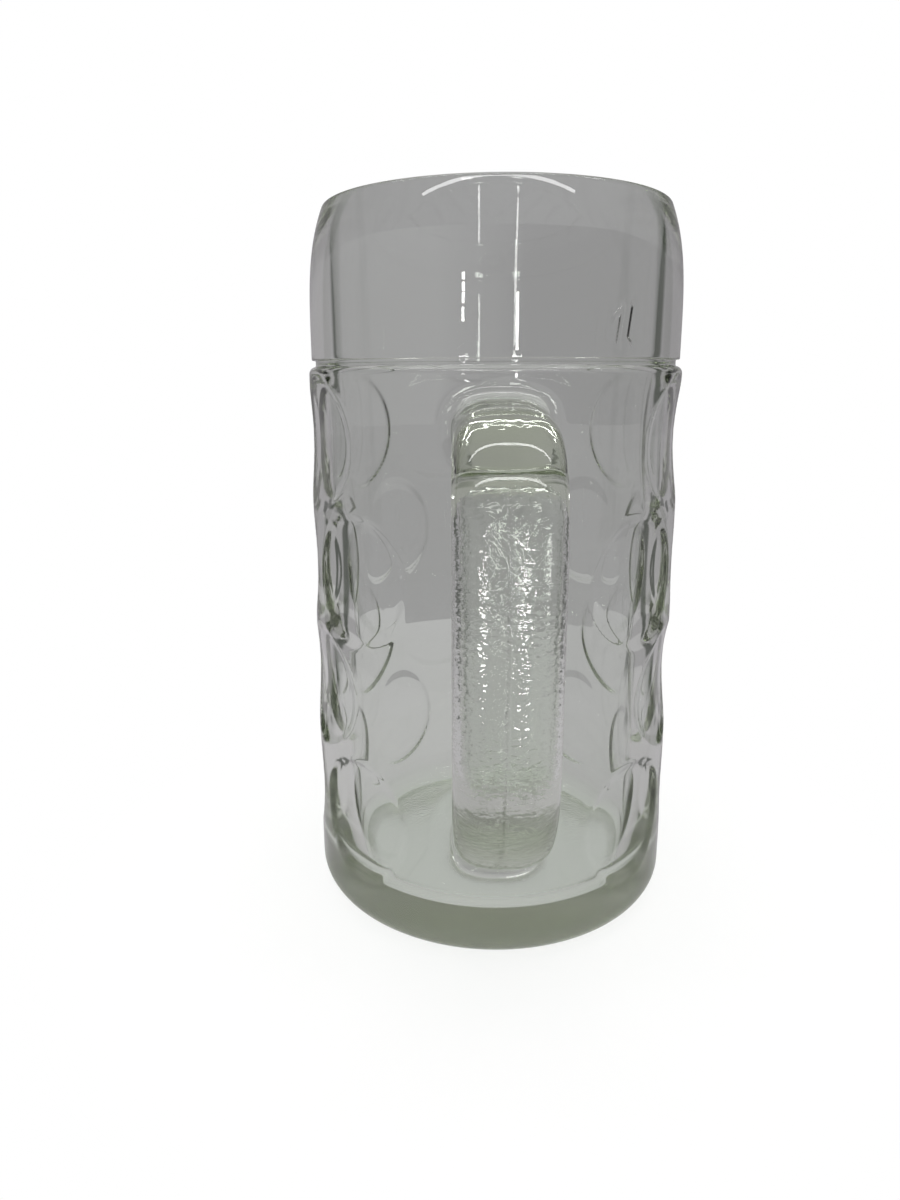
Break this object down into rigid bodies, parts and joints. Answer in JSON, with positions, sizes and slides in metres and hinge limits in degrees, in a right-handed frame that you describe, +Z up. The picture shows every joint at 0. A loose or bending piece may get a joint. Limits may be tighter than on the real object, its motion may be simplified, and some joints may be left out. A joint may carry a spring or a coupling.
{
  "type": "dimpled glass beer mug",
  "caption": "Tall pressed-glass beer mug with staggered rows of round dimples, a smooth band under the rim, a thick bottom and one D-shaped handle.",
  "frame": {"origin": "on the table plane, on the axis of the body", "axes": "+Z up along the body's axis to the rim; the handle points along -Y; +X is to the right of the handle when it faces the viewer"},
  "size_m": [0.109, 0.1545, 0.2],
  "materials": {
    "body_glass": "clear, fire-polished",
    "handle_glass": "clear, slightly rippled",
    "mark_glass": "clear, raised strokes"
  },
  "bodies": {
    "root": {"mug_body": "body_glass", "handle": "handle_glass", "capacity_mark": "mark_glass"}
  },
  "joints": []
}
